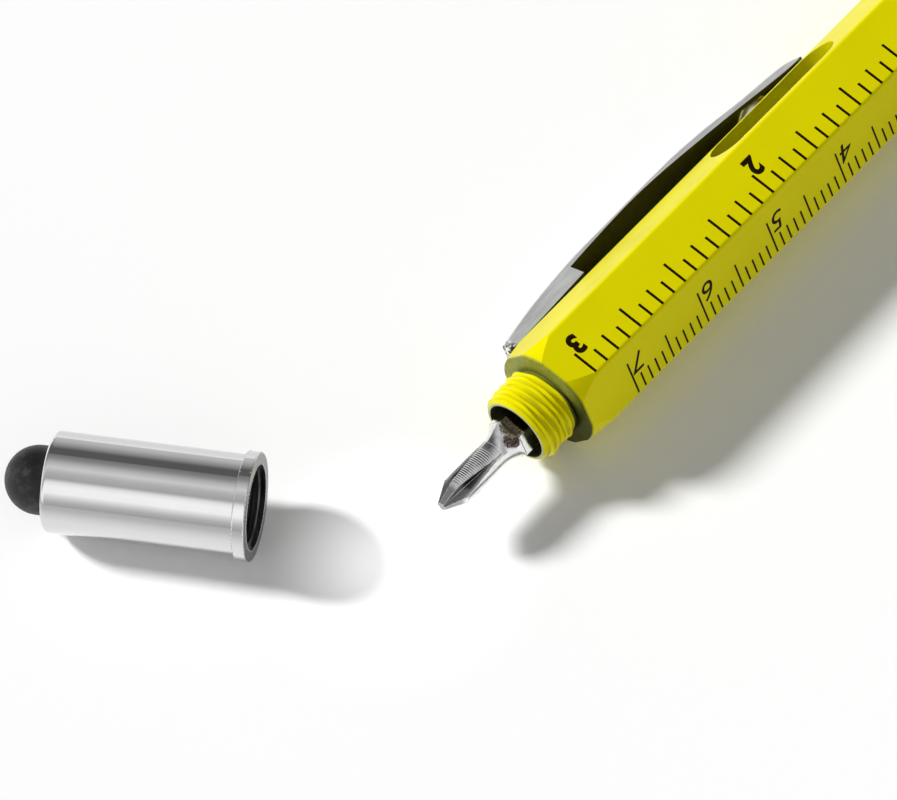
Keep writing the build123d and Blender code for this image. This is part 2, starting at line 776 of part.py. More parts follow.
with BuildPart() as stylus_seat:
    cap_turned(
        (liner_end + fixed_fit, 0),
        (liner_end + fixed_fit, liner_radius),
        (seat_end, liner_radius),
        (seat_end, seat_stem_radius),
        (seat_end + seat_stem_length, seat_stem_radius),
        (seat_end + seat_stem_length, 0),
    )
stylus_seat.part.label = "stylus_seat"

tip_bore_radius = tip_radius - tip_wall
with BuildPart() as stylus_tip:
    with BuildSketch(cap_plane):
        with BuildLine():
            Polyline(
                (dome_start, tip_bore_radius),
                (tip_lip_start, tip_bore_radius),
                (tip_lip_start, tip_radius + tip_lip_width),
                (rear_inside - fixed_fit, tip_radius + tip_lip_width),
                (rear_inside - fixed_fit, tip_radius),
                (dome_start, tip_radius),
            )
            RadiusArc((dome_start, tip_radius), (dome_start + tip_radius, 0), tip_radius)
            Line((dome_start + tip_radius, 0), (dome_start + tip_bore_radius, 0))
            RadiusArc((dome_start + tip_bore_radius, 0), (dome_start, tip_bore_radius), -tip_bore_radius)
        make_face()
    revolve(axis=cap_axis)
stylus_tip.part.label = "stylus_tip"

os.makedirs("parts", exist_ok=True)
export_step(barrel.part, "parts/barrel.step")
export_step(bit_socket.part, "parts/bit_socket.step")
export_step(bit_magnet.part, "parts/bit_magnet.step")
export_step(bit.part, "parts/bit.step")
export_step(vial_tube.part, "parts/vial_tube.step")
export_step(vial_fluid.part, "parts/vial_fluid.step")
export_step(vial_plugs.part, "parts/vial_plugs.step")
export_step(clip.part, "parts/clip.step")
export_step(clip_anchor.part, "parts/clip_anchor.step")
export_step(clip_pin.part, "parts/clip_pin.step")
export_step(clip_spring.part, "parts/clip_spring.step")
export_step(guide_sleeve.part, "parts/guide_sleeve.step")
export_step(twist_cam.part, "parts/twist_cam.step")
export_step(follower.part, "parts/follower.step")
export_step(refill_tube.part, "parts/refill_tube.step")
export_step(refill_ink.part, "parts/refill_ink.step")
export_step(refill_point.part, "parts/refill_point.step")
export_step(refill_ball.part, "parts/refill_ball.step")
export_step(nose_ring.part, "parts/nose_ring.step")
export_step(nose_grip.part, "parts/nose_grip.step")
export_step(nose_cone.part, "parts/nose_cone.step")
export_step(cap_shell.part, "parts/cap_shell.step")
export_step(cap_liner.part, "parts/cap_liner.step")
export_step(stylus_seat.part, "parts/stylus_seat.step")
export_step(stylus_tip.part, "parts/stylus_tip.step")
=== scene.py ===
from math import cos, pi, radians, sin, sqrt

import bmesh
import bpy
from mathutils import Matrix, Quaternion, Vector


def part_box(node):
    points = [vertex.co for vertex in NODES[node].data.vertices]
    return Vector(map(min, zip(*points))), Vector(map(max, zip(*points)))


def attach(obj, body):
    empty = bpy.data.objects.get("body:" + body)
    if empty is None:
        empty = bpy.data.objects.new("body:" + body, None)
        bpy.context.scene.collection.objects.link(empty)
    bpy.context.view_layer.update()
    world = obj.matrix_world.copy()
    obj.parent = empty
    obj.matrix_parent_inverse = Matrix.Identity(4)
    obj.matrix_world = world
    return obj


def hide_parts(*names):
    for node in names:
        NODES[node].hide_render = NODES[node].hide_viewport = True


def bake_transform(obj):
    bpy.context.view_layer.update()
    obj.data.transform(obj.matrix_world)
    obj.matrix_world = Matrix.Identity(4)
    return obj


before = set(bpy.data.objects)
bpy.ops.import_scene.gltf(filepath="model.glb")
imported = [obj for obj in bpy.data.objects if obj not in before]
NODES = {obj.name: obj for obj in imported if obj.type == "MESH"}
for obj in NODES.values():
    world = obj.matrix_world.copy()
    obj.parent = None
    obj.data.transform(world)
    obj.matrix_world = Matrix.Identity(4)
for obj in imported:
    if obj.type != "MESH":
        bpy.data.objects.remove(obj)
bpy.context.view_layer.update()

MM = 0.001
PEN_WAY = (1, 0, 0)
UP = (0, 0, 1)

# Barrel as the model has it: how far it lies turned, its facets counted from the one with the inch scale,
# and the height of the surface that it lies on
ROLL = 9.342499                  # degrees
APOTHEM = 5.05 * MM
RIDGE_RADIUS = 0.5 * MM
FLAT_HALF = 2.6270 * MM          # where a facet's flat ends and the ridge's rounding begins
INCH_FACET = 0
CLIP_FACET = 2
CM_FACET = 5
SURFACE = -5.416094 * MM

# Scales: where the highest line is, the step to the next, how many there are, where they end near the ridge
# and how wide they are. A line's other end goes by the first rank whose number divides the line's.
INCH_SCALE = dict(
    facet=INCH_FACET, start=2.95 * MM, step=25.4 / 16 * MM, lines=49, edge=2.787 * MM, width=0.27 * MM,
    ranks=((4, 0.173 * MM), (2, 0.743 * MM), (1, 1.170 * MM)),
)
CM_SCALE = dict(
    facet=CM_FACET, start=6.232 * MM, step=1.0 * MM, lines=71, edge=2.70 * MM, width=0.21 * MM,
    ranks=((10, -0.943 * MM), (5, -0.069 * MM), (1, 1.069 * MM)),
)

# Numbers from the highest down to 1: places along and across, and how bold, wide and slanted they are
NUMBER_HEIGHT = 2.75 * MM
INCH_NUMBERS = dict(
    facet=INCH_FACET, highest=3, start=3.8 * MM, step=25.4 * MM, across=-0.50 * MM,
    weight=0.045, widen=0.97, slant=0.0,
)
CM_NUMBERS = dict(
    facet=CM_FACET, highest=7, start=7.63 * MM, step=10.0 * MM, across=-0.33 * MM,
    weight=0.0, widen=1.25, slant=0.2,
)
PRINT_LIFT = 0.012 * MM          # how far the print stands out of the lacquer
PRINT_SINK = 0.010 * MM          # and how far it reaches into it

# Threads: a ridge from root to crest, its pitch, and where it begins and ends behind the shoulder or mouth.
# A turn wanders by a share of the pitch and its crest is worn by a share of its height, both in waves, and a
# rate is the number of waves to a turn.
NECK_THREAD = dict(root=3.46 * MM, crest=3.93 * MM, pitch=0.65 * MM, begin=0.20 * MM, end=4.10 * MM)
LINER_THREAD = dict(root=3.67 * MM, crest=3.56 * MM, pitch=0.5 * MM, begin=0.95 * MM, end=5.2 * MM)
THREAD_SHAPE = (
    (-0.5, 0.0), (-0.32, 0.45), (-0.14, 0.92), (0.0, 1.0), (0.14, 0.92), (0.32, 0.45), (0.5, 0.0),
)
THREAD_STEPS = 96                # points round a turn
THREAD_WANDER = 0.12
WANDER_RATE = 2.3
THREAD_WEAR = 0.15
WEAR_RATES = (3.1, 7.7)

# Finishes and painted shade fade in between two places, or two distances from the pen's axis: absent at the
# first and full at the second. These are the neck's: dirt and painted shade on the shoulder, painted shade
# on its lower side, in the groove and in the thread's valleys, the rim, and painted shade in the bit's
# socket.
DIRT_AND_SHADE_BEGINS = (-0.52 * MM, -0.44 * MM)
DIRT_AND_SHADE_ENDS = (0.40 * MM, 0.02 * MM)
LOWER_WAY = (0, 0.94, 0.34)
LOWER_SIDE = (-0.5 * MM, -3.6 * MM)
GROOVE_DEPTH = (4.1 * MM, 3.5 * MM)
VALLEY_BEGINS = (-0.5 * MM, -0.6 * MM)
VALLEY_DEPTH = (3.75 * MM, 3.61 * MM)
RIM = (-4.43 * MM, -4.46 * MM)
SOCKET_WALL = (3.13 * MM, 3.06 * MM)
SOCKET_ENDS = (22.6 * MM, 22.3 * MM)

# Bit: half its width across flats, its shank, and the flare between them
BIT_APOTHEM = 2.0 * MM
BIT_SHANK = 1.45 * MM
FLARE_START = -7.6 * MM
FLARE_END = -5.56 * MM
FLARE_LIFT = 0.004 * MM

# The bit's finishes: turned rings on one side of its shank, painted shade between them and in the flutes,
# and a duller tip
RINGS_PITCH = 0.23 * MM
RINGS_BEGIN = (-13.0 * MM, -12.4 * MM)
RINGS_END = (-8.0 * MM, -8.8 * MM)
RINGS_RADIUS = (1.30 * MM, 1.42 * MM)
RINGS_WAY = (0, 0.902, 0.431)
RINGS_SIDE = (-0.45 * MM, 0.35 * MM)
FLUTE_DEPTH = (1.42 * MM, 1.10 * MM)
FLUTE_ENDS = (-7.4 * MM, -7.6 * MM)
FLUTE_FADES = (-11.8 * MM, -12.6 * MM)
DULL_TIP = (-12.3 * MM, -12.8 * MM)

# Stains on the bit, the second partly a painted reflection: where, how far they reach, and their two shades
STAINS_AND_REFLECTION = (
    (Vector((-6.17, -1.04, 1.47)) * MM, 0.78 * MM, (0.022, 0.011, 0.009), (0.34, 0.27, 0.24)),
    # partly a painted reflection of the yellow neck: brown on the top of the six-sided body
    (Vector((-4.97, -0.19, 2.19)) * MM, 1.35 * MM, (0.15, 0.125, 0.075), (0.52, 0.47, 0.34)),
)

# Clip: where its dented tail fades in, and its dimple near the tip
# the tail's dark and bright mottle is painted glints, laid over real dents
CLIP_TAIL = (2.9 * MM, 2.3 * MM)
DIMPLE_PLACE = 37.7 * MM
DIMPLE_RADIUS = 2.05 * MM

# Level's lines: distance from the tube's middle, half width, and how far they sink in and stand out
LEVEL_LINE_PLACE = 3.0 * MM
LEVEL_LINE_HALF = 0.14 * MM
LEVEL_LINE_SINK = 0.010 * MM
LEVEL_LINE_LIFT = 0.008 * MM

# Cap: the middle of its mouth, the way into it, the side on which the shell is painted darker as a painted
# reflection, and its finishes by depth: the turned face of the mouth and the rings on the flange
CAP_MOUTH = Vector((-25.37, 13.29, -0.3259)) * MM
CAP_WAY = Vector((-0.490503, 0.871214, -0.019822))
CAP_PAINTED_DARK_SIDE = (0.726, 0.421, 0.543)
MOUTH_FACE = (0.05 * MM, 0.01 * MM)
FLANGE_DEPTH = (1.22 * MM, 1.18 * MM)
FLANGE_PITCH = 0.17 * MM

# Worn edges: the sharpest fold that stays plain, the shortest edge that gets a bead, and the beads' radii
PLAIN_FOLD = 35                  # degrees
SHORTEST_EDGE = 0.02 * MM
BIT_BEAD = 0.022 * MM
CAP_BEAD = 0.03 * MM
BIT_BEADS_END = -7.7 * MM        # the place along the pen
CAP_BEADS_DEPTH = (-0.1 * MM, 1.5 * MM)

# Camera: where it stands, what it looks at, its turn about that line and its lens
CAMERA_PLACE = Vector((-291.648, -283.424, 607.882)) * MM
CAMERA_TARGET = Vector((-3.141, 9.663, -5.416)) * MM
CAMERA_ROLL = -5.721             # degrees
CAMERA_SENSOR = 36.0             # millimetres, as the lens
CAMERA_LENS = 321.07

# Light: a key lamp from behind on the left, and a weak one over the far end of the cap's shadow
KEY_WAY = Vector((0.51, -1.29, -1.0))
KEY_STRENGTH = 3.85
KEY_ANGLE = 11.0                 # degrees
FILL_PLACE = Vector((-20.0, 2.0, 150)) * MM
FILL_TARGET = Vector((-20.0, 2.3, -5.4)) * MM
FILL_POWER = 0.66
FILL_CONE = 7.6                  # degrees
FILL_SIZE = 6 * MM

# Surroundings: walls round the pen, as metal reflects them, by direction from one side (0) to the other (1),
# white below a low height, and their strength as a light
WALLS_WAY = (0.871, 0.491, 0)
WALLS = (
    (0.0, 0.40), (0.02, 0.44), (0.05, 0.70), (0.09, 0.99), (0.17, 1.0), (0.23, 0.84), (0.29, 0.40),
    (0.40, 0.48), (0.50, 0.66), (0.59, 0.50), (0.70, 0.22), (0.76, 0.10), (0.87, 0.10), (0.95, 0.38),
    (1.0, 0.62),
)
HORIZON = (0.10, 0.0)
SKY_FRONT = 1.10                 # at the horizon in front of the pen
SKY_BACK = 0.55                  # and behind it
SKY_HIGH = 0.42                  # overhead
FLOOR_HALF = 4.0                 # metres


def facet_frame(index):
    """Outward normal of a facet and the direction across it, towards the facet before it."""
    angle = radians(60 * index - ROLL)
    return Vector((0, sin(angle), cos(angle))), Vector((0, -cos(angle), sin(angle)))


# Nodes of a material


def node(tree, kind, links, **values):
    """New node: values go to its own settings or, where it has none of that name, to its inputs."""
    made = tree.nodes.new(kind)
    for key, value in values.items():
        if hasattr(made, key):
            setattr(made, key, value)
        else:
            made.inputs[key.replace("_", " ")].default_value = value
    for key, source in links.items():
        tree.links.new(source, made.inputs[key])
    return made


def new_material(name, **values):
    """Material with only a Principled shader: the material, its node tree and the shader."""
    material = bpy.data.materials.new(name)
    material.use_nodes = True
    tree = material.node_tree
    tree.nodes.clear()
    output = tree.nodes.new("ShaderNodeOutputMaterial")
    shader = node(tree, "ShaderNodeBsdfPrincipled", {}, **values)
    tree.links.new(shader.outputs["BSDF"], output.inputs["Surface"])
    return material, tree, shader


def texture(tree, kind):
    """Coordinates of one kind, such as Object or Normal."""
    return tree.nodes.new("ShaderNodeTexCoord").outputs[kind]


def noise(tree, size, detail=4.0, roughness=0.55, stretch=(1, 1, 1)):
    """Noise whose grain is about size metres across, stretched along the model's axes."""
    place = node(tree, "ShaderNodeMapping", {"Vector": texture(tree, "Object")}, Scale=stretch)
    links = {"Vector": place.outputs["Vector"]}
    made = node(tree, "ShaderNodeTexNoise", links, Scale=1 / size, Detail=detail, Roughness=roughness)
    return made.outputs["Fac"]


def ramp(tree, source, *stops):
    """Colour ramp over a value: stops are (place, colour or grey)."""
    made = node(tree, "ShaderNodeValToRGB", {"Fac": source})
    elements = made.color_ramp.elements
    while len(elements) < len(stops):
        elements.new(0.5)
    for element, (place, colour) in zip(elements, stops):
        element.position = place
        shade = (colour,) * 3 if isinstance(colour, (int, float)) else colour
        element.color = (*shade, 1)
    return made.outputs["Color"]


def spread(tree, source, low, high, start=0.0):
    """Number from low to high as the source goes evenly from start to 1."""
    made = node(tree, "ShaderNodeMapRange", {"Value": source}, From_Min=start, To_Min=low, To_Max=high)
    return made.outputs["Result"]


def between(tree, source, first, last, low=0.0, high=1.0):
    """Value that goes softly from low to high as the source goes from first to last."""
    made = node(
        tree, "ShaderNodeMapRange", {"Value": source}, interpolation_type="SMOOTHSTEP",
        From_Min=first, From_Max=last, To_Min=low, To_Max=high,
    )
    return made.outputs["Result"]


def arithmetic(tree, operation, first, second):
    """Result of an operation on two linked values, or on a linked one and a fixed one."""
    linked = {0: first}
    if not isinstance(second, (int, float)):
        linked[1] = second
    made = node(tree, "ShaderNodeMath", linked, operation=operation)
    if isinstance(second, (int, float)):
        made.inputs[1].default_value = second
    return made.outputs[0]


def product(tree, *sources):
    """Product of linked values."""
    result = sources[0]
    for source in sources[1:]:
        result = arithmetic(tree, "MULTIPLY", result, source)
    return result


def mixed(tree, factor, first, second):
    """Colour between a linked one and a fixed or linked one."""
    made = node(tree, "ShaderNodeMix", {"Factor": factor, "A": first}, data_type="RGBA")
    if isinstance(second, tuple):
        made.inputs["B"].default_value = (*second, 1)
    else:
        tree.links.new(second, made.inputs["B"])
    return made.outputs["Result"]


def vector_math(tree, operation, source, other):
    """Node of an operation on a linked vector and a fixed one."""
    made = node(tree, "ShaderNodeVectorMath", {0: source}, operation=operation)
    made.inputs[1].default_value = tuple(other)
    return made


def along(tree, way=PEN_WAY):
    """Distance along a direction in metres, from the origin."""
    return vector_math(tree, "DOT_PRODUCT", texture(tree, "Object"), way).outputs["Value"]


def pen_radius(tree):
    """Distance from the pen's axis in metres."""
    flat = vector_math(tree, "MULTIPLY", texture(tree, "Object"), (0, 1, 1))
    return node(tree, "ShaderNodeVectorMath", {0: flat.outputs[0]}, operation="LENGTH").outputs["Value"]


def distance(tree, point):
    """Distance from a point in metres."""
    return vector_math(tree, "DISTANCE", texture(tree, "Object"), point).outputs["Value"]


def facing(tree, way):
    """How squarely the surface faces a direction, from -1 to 1."""
    return vector_math(tree, "DOT_PRODUCT", texture(tree, "Normal"), way).outputs["Value"]


def rings_along(tree, way, pitch):
    """Rings of the given pitch along a direction, as a value from 0 to 1."""
    turns = arithmetic(tree, "MULTIPLY", along(tree, way), 2 * pi / pitch)
    wave = node(tree, "ShaderNodeMath", {0: turns}, operation="SINE")
    return spread(tree, wave.outputs[0], 0, 1, start=-1)


def bump(tree, shader, source, height, strength=1.0, below=None):
    """Bump from a source, its full height in metres, over another bump."""
    links = {"Height": source}
    if below is not None:
        links["Normal"] = below
    made = node(tree, "ShaderNodeBump", links, Strength=strength, Distance=height)
    tree.links.new(made.outputs["Normal"], shader.inputs["Normal"])
    return made.outputs["Normal"]


def finish_with(tree, shader, colour, roughness):
    """Links the shader's colour and roughness."""
    tree.links.new(colour, shader.inputs["Base Color"])
    tree.links.new(roughness, shader.inputs["Roughness"])


# Materials


def lacquer_yellow(tree, drift):
    """The lacquer's own yellow, darkened in patches on the side that the key light falls on: painted shade.
    """
    shade = ramp(
        tree, drift,
        (0.25, (0.73, 0.665, 0.001)),
        (0.5, (0.755, 0.69, 0.001)),
        (0.8, (0.775, 0.71, 0.002)),
    )
    # painted shade: darker in patches on the side that faces the key light
    lit = between(tree, facing(tree, (0, 1, 0)), 0.3, 0.9)
    patches = between(tree, noise(tree, 5 * MM, 4, 0.6), 0.25, 0.75, 0.55, 1)
    return mixed(tree, product(tree, lit, patches), shade, (0.565, 0.505, 0.001))


def neck_dirt_and_shade(tree, shade, drift):
    """Dirt and painted shade over the shoulder, the painted shade darker on its lower side, in the groove
    and in the thread's valleys.
    """
    place = along(tree)
    radius = pen_radius(tree)
    # dirt and painted shade on the shoulder, the painted shade deepest on its lower side
    shoulder = product(tree, between(tree, place, *DIRT_AND_SHADE_BEGINS), between(tree, place, *DIRT_AND_SHADE_ENDS))
    lower_side = between(tree, along(tree, LOWER_WAY), *LOWER_SIDE)
    grime = noise(tree, 0.6 * MM, 5, 0.65)
    shoulder_dirt_and_shade = ramp(tree, grime, (0.3, (0.19, 0.21, 0.025)), (0.7, (0.31, 0.335, 0.055)))
    shoulder_dirt_and_shade = mixed(tree, lower_side, shoulder_dirt_and_shade, (0.045, 0.052, 0.008))
    shade = mixed(tree, shoulder, shade, shoulder_dirt_and_shade)
    # painted shade in the groove, deeper on the lower side
    depth = between(tree, radius, *GROOVE_DEPTH)
    groove = product(tree, shoulder, depth, between(tree, lower_side, 0, 1, 0.45, 1))
    shade = mixed(tree, groove, shade, (0.02, 0.027, 0.004))
    # painted shade in the thread's valleys
    uneven = between(tree, drift, 0.35, 0.65, 0.15, 0.75)
    valley = product(
        tree, between(tree, place, *VALLEY_BEGINS), between(tree, radius, *VALLEY_DEPTH), uneven,
    )
    return mixed(tree, valley, shade, (0.44, 0.41, 0.008))


def neck_mouth(tree, shade):
    """Worn rim of the neck, and painted shade darkening the inside of the bit's socket."""
    place = along(tree)
    shade = mixed(tree, between(tree, place, *RIM), shade, (0.47, 0.48, 0.24))
    # painted shade inside the bit's socket
    wall = product(tree, between(tree, pen_radius(tree), *SOCKET_WALL), between(tree, place, *SOCKET_ENDS))
    return mixed(tree, wall, shade, (0.035, 0.036, 0.012))


def lacquer():
    """Yellow lacquer on metal, with a fine peel, painted shade in patches on the side the key light falls
    on, and grime with painted shade round the neck.
    """
    material, tree, shader = new_material(
        "yellow_lacquer", IOR=1.5, Specular_Tint=(1, 0.93, 0.06, 1), Specular_IOR_Level=0.15,
    )
    drift = noise(tree, 6 * MM, 3)
    shade = lacquer_yellow(tree, drift)
    shade = neck_dirt_and_shade(tree, shade, drift)
    shade = neck_mouth(tree, shade)
    marks = noise(tree, 0.9 * MM, 6, 0.7, (0.25, 1, 1))
    finish_with(tree, shader, shade, spread(tree, marks, 0.24, 0.40))
    peel = bump(tree, shader, noise(tree, 0.35 * MM, 2), 0.006 * MM, 0.5)
    bump(tree, shader, noise(tree, 0.06 * MM, 2), 0.0015 * MM, 0.4, peel)
    return material


def polished(name, colour, low, high):
    """Polished plate: faint wipe marks in its gloss and a very slight ripple."""
    material, tree, shader = new_material(name, Metallic=1)
    tint = ramp(tree, noise(tree, 3 * MM, 2), (0.2, tuple(0.94 * c for c in colour)), (0.8, colour))
    wipes = noise(tree, 0.5 * MM, 6, 0.65)
    finish_with(tree, shader, tint, spread(tree, wipes, low, high))
    bump(tree, shader, noise(tree, 0.25 * MM, 3, 0.6), 0.0008 * MM, 0.5)
    return material


def clip_metal():
    """Brushed nickel, with dents and painted glints at the tail, painted shade on its side facing the
    barrel, and the dimple polished bright where it shows.
    """
    material, tree, shader = new_material("clip_nickel")
    normal = facet_frame(CLIP_FACET)[0]
    inward = facing(tree, -normal)
    away = distance(tree, Vector((DIMPLE_PLACE, 0, 0)) + normal * (APOTHEM + DIMPLE_RADIUS))
    brushed = noise(tree, 0.5 * MM, 6, 0.7, (0.12, 1, 1))
    shade = ramp(tree, brushed, (0.30, 0.50), (0.70, 0.82))
    tail = between(tree, along(tree), *CLIP_TAIL)
    # painted glints and dark spots on the tail, besides its dents
    tail_glints = ramp(tree, noise(tree, 0.35 * MM, 3, 0.6), (0.42, 0.03), (0.50, 0.55), (0.60, 1.0))
    shade = mixed(tree, tail, shade, tail_glints)
    off_dimple = between(tree, away, DIMPLE_RADIUS, 1.1 * DIMPLE_RADIUS)
    # painted shade on the side facing the barrel, mottled like an oxide
    inner = product(tree, between(tree, inward, 0.25, 0.6), off_dimple)
    underside_shade = ramp(tree, noise(tree, 0.8 * MM, 5, 0.65), (0.3, 0.006), (0.7, 0.020))
    shade = mixed(tree, inner, shade, underside_shade)
    on_dimple = between(tree, away, 1.05 * DIMPLE_RADIUS, DIMPLE_RADIUS)
    bright = product(tree, on_dimple, between(tree, inward, 0.0, 0.15))
    shade = mixed(tree, bright, shade, (0.92, 0.92, 0.92))
    finish_with(tree, shader, shade, spread(tree, brushed, 0.22, 0.38))
    metallic = arithmetic(tree, "MAXIMUM", between(tree, inner, 0, 1, 0.55, 0.2), bright)
    tree.links.new(metallic, shader.inputs["Metallic"])
    dents = bump(tree, shader, product(tree, tail, noise(tree, 0.6 * MM, 2)), 0.3 * MM, 0.6)
    bump(tree, shader, noise(tree, 0.12 * MM, 4, 0.6, (0.1, 1, 1)), 0.003 * MM, 0.5, dents)
    return material


def cap_chrome():
    """Polished cap with painted reflections: darker low down and on one side; a turned mouth and rings on
    its flange.
    """
    material, tree, shader = new_material("cap_chrome", Metallic=1)
    upward = facing(tree, UP)
    depth = arithmetic(tree, "SUBTRACT", along(tree, CAP_WAY), CAP_MOUTH.dot(CAP_WAY))
    shade = ramp(tree, noise(tree, 3 * MM, 3), (0.2, (0.84, 0.84, 0.845)), (0.8, (0.90, 0.90, 0.905)))
    # painted reflection: darker bands low down, as if the shell showed the shaded table
    lower = ramp(tree, upward, (0.16, 0.70), (0.24, 0.66), (0.33, 0.59), (0.42, 0.47), (0.50, 0.42))
    shade = mixed(tree, between(tree, upward, 0.55, 0.495), shade, lower)
    # painted reflection: a darker band on its upper side towards the writing end
    dull_or_painted_dark = between(tree, facing(tree, CAP_PAINTED_DARK_SIDE), 0.80, 0.97)
    shade = mixed(tree, dull_or_painted_dark, shade, (0.62, 0.62, 0.625))
    mouth = between(tree, depth, *MOUTH_FACE)
    lathe = ramp(tree, noise(tree, 0.16 * MM, 4, 0.7), (0.3, 0.09), (0.7, 0.42))
    shade = mixed(tree, mouth, shade, lathe)
    finish_with(tree, shader, shade, between(tree, mouth, 0, 1, 0.07, 0.38))
    rings = product(tree, rings_along(tree, CAP_WAY, FLANGE_PITCH), between(tree, depth, *FLANGE_DEPTH))
    marked = bump(tree, shader, rings, 0.004 * MM, 0.6)
    bump(tree, shader, noise(tree, 0.5 * MM, 6, 0.65, (0.4, 1, 1)), 0.0012 * MM, 0.6, marked)
    return material


def turned_metal(name, colour, low, high, pitch, height):
    """Turned metal: fine rings round the axis, broken by noise, with darker grime between them."""
    material, tree, shader = new_material(name, Metallic=1)
    grime = noise(tree, 0.7 * MM, 5, 0.65)
    shade = ramp(tree, grime, (0.25, tuple(0.62 * c for c in colour)), (0.6, colour))
    finish_with(tree, shader, shade, spread(tree, grime, high, low))
    ringed = bump(tree, shader, rings_along(tree, PEN_WAY, pitch), height, 0.7)
    bump(tree, shader, noise(tree, 0.05 * MM, 3), 0.001 * MM, 0.5, ringed)
    return material


def bit_flute_shade(tree, shade, place, radius):
    """Painted shade in the flutes between the wings of the cross tip."""
    deep = product(
        tree, between(tree, radius, *FLUTE_DEPTH), between(tree, place, *FLUTE_ENDS),
        between(tree, place, *FLUTE_FADES, 0.95, 0.62),
    )
    # painted shade: the flutes darkened where they sink in
    dark = ramp(tree, noise(tree, 0.8 * MM, 4, 0.6, (0.4, 1, 1)), (0.35, 0.006), (0.7, 0.075))
    return mixed(tree, deep, shade, dark)


def bit_stains_and_reflection(tree, shade):
    """Ragged brown stains; the second is partly a painted reflection of the yellow neck."""
    for spot, reach, brown, pale in STAINS_AND_REFLECTION:
        ragged = node(
            tree, "ShaderNodeMath", {0: distance(tree, spot), 2: noise(tree, 0.3 * MM, 5, 0.7)},
            operation="MULTIPLY_ADD",
        )
        ragged.inputs[1].default_value = 1 / reach
        stain = ramp(tree, noise(tree, 0.12 * MM, 5, 0.75), (0.48, brown), (0.66, pale))
        shade = mixed(tree, between(tree, ragged.outputs[0], 1.6, 1.3), shade, stain)
    return shade


def bit_steel():
    """Polished tool steel: turned rings on one side of the shank with painted shade between them, painted
    shade in the flutes, stains, one partly a painted reflection, and a duller tip.
    """
    material, tree, shader = new_material("bit_steel")
    radius = pen_radius(tree)
    place = along(tree)
    rings = rings_along(tree, PEN_WAY, RINGS_PITCH)
    satin = product(
        tree, between(tree, place, *RINGS_BEGIN), between(tree, place, *RINGS_END),
        between(tree, radius, *RINGS_RADIUS), between(tree, along(tree, RINGS_WAY), *RINGS_SIDE),
    )
    streaks = between(tree, noise(tree, 1.1 * MM, 3, 0.6, (0.35, 1, 1)), 0.30, 0.52, 0.35, 1.0)
    ringed = product(tree, satin, streaks)
    # painted shade between the turned rings, on that side only
    ring_cut_shade = between(tree, ramp(tree, rings, (0.38, 0.0), (0.62, 1.0)), 1, 0)
    grime = noise(tree, 0.5 * MM, 6, 0.7)
    shade = ramp(tree, grime, (0.25, 0.60), (0.5, 0.84), (0.8, 0.95))
    shade = mixed(tree, product(tree, ringed, ring_cut_shade), shade, (0.02, 0.02, 0.02))
    shade = bit_flute_shade(tree, shade, place, radius)
    shade = bit_stains_and_reflection(tree, shade)
    dull_or_painted_dark = between(tree, place, *DULL_TIP, 0.0, 0.22)
    finish_with(tree, shader, shade, arithmetic(tree, "ADD", spread(tree, grime, 0.20, 0.07), dull_or_painted_dark))
    tree.links.new(between(tree, satin, 0, 1, 1.0, 0.5), shader.inputs["Metallic"])
    ripple = bump(tree, shader, noise(tree, 0.7 * MM, 3, 0.5, (0.5, 1, 1)), 0.05 * MM, 0.5)
    bump(tree, shader, product(tree, ringed, rings), 0.012 * MM, 0.6, ripple)
    return material


def moulded(name, colour, low, high):
    """Moulded plastic or ink: fine grain and uneven sheen."""
    material, tree, shader = new_material(name)
    drift = noise(tree, 1.5 * MM, 4)
    pale = tuple(min(1, 1.35 * c + 0.004) for c in colour)
    finish_with(tree, shader, ramp(tree, drift, (0.3, colour), (0.8, pale)), spread(tree, drift, low, high))
    bump(tree, shader, noise(tree, 0.08 * MM, 3), 0.004 * MM, 0.6)
    return material


def rubber():
    """Soft black rubber of the touch tip: matte, with a dusty bloom."""
    material, tree, shader = new_material("black_rubber", Specular_IOR_Level=0.35)
    bloom = noise(tree, 2.6 * MM, 7, 0.72)
    shade = ramp(tree, bloom, (0.36, 0.005), (0.50, 0.013), (0.62, 0.046))
    finish_with(tree, shader, shade, spread(tree, bloom, 0.42, 0.58))
    bump(tree, shader, noise(tree, 0.09 * MM, 3), 0.006 * MM, 0.6)
    return material


def clear(name, colour, low, high, ior, passing):
    """Clear plastic or liquid with faint flow marks."""
    material, tree, shader = new_material(name, IOR=ior, Transmission_Weight=passing)
    flow = noise(tree, 2 * MM, 3, 0.5, (0.3, 1, 1))
    pale = tuple(min(1, 1.06 * c) for c in colour)
    finish_with(tree, shader, ramp(tree, flow, (0.3, colour), (0.8, pale)), spread(tree, flow, low, high))
    return material


def printed_ink():
    """Black printing ink: a little uneven, and duller than the lacquer under it."""
    material, tree, shader = new_material("printed_ink", Specular_IOR_Level=0.08)
    wear = noise(tree, 0.25 * MM, 6, 0.7)
    shade = ramp(tree, wear, (0.3, (0.007, 0.003, 0.0005)), (0.8, (0.018, 0.009, 0.002)))
    finish_with(tree, shader, shade, spread(tree, wear, 0.35, 0.6))
    bump(tree, shader, noise(tree, 0.05 * MM, 2), 0.002 * MM, 0.5)
    return material


def floor_material():
    """White table top with a barely visible tone."""
    material, tree, shader = new_material("white_surface", Roughness=0.9, Specular_IOR_Level=0.1)
    tone = ramp(tree, noise(tree, 0.4, 3), (0.3, 0.985), (0.7, 0.997))
    tree.links.new(tone, shader.inputs["Base Color"])
    return material


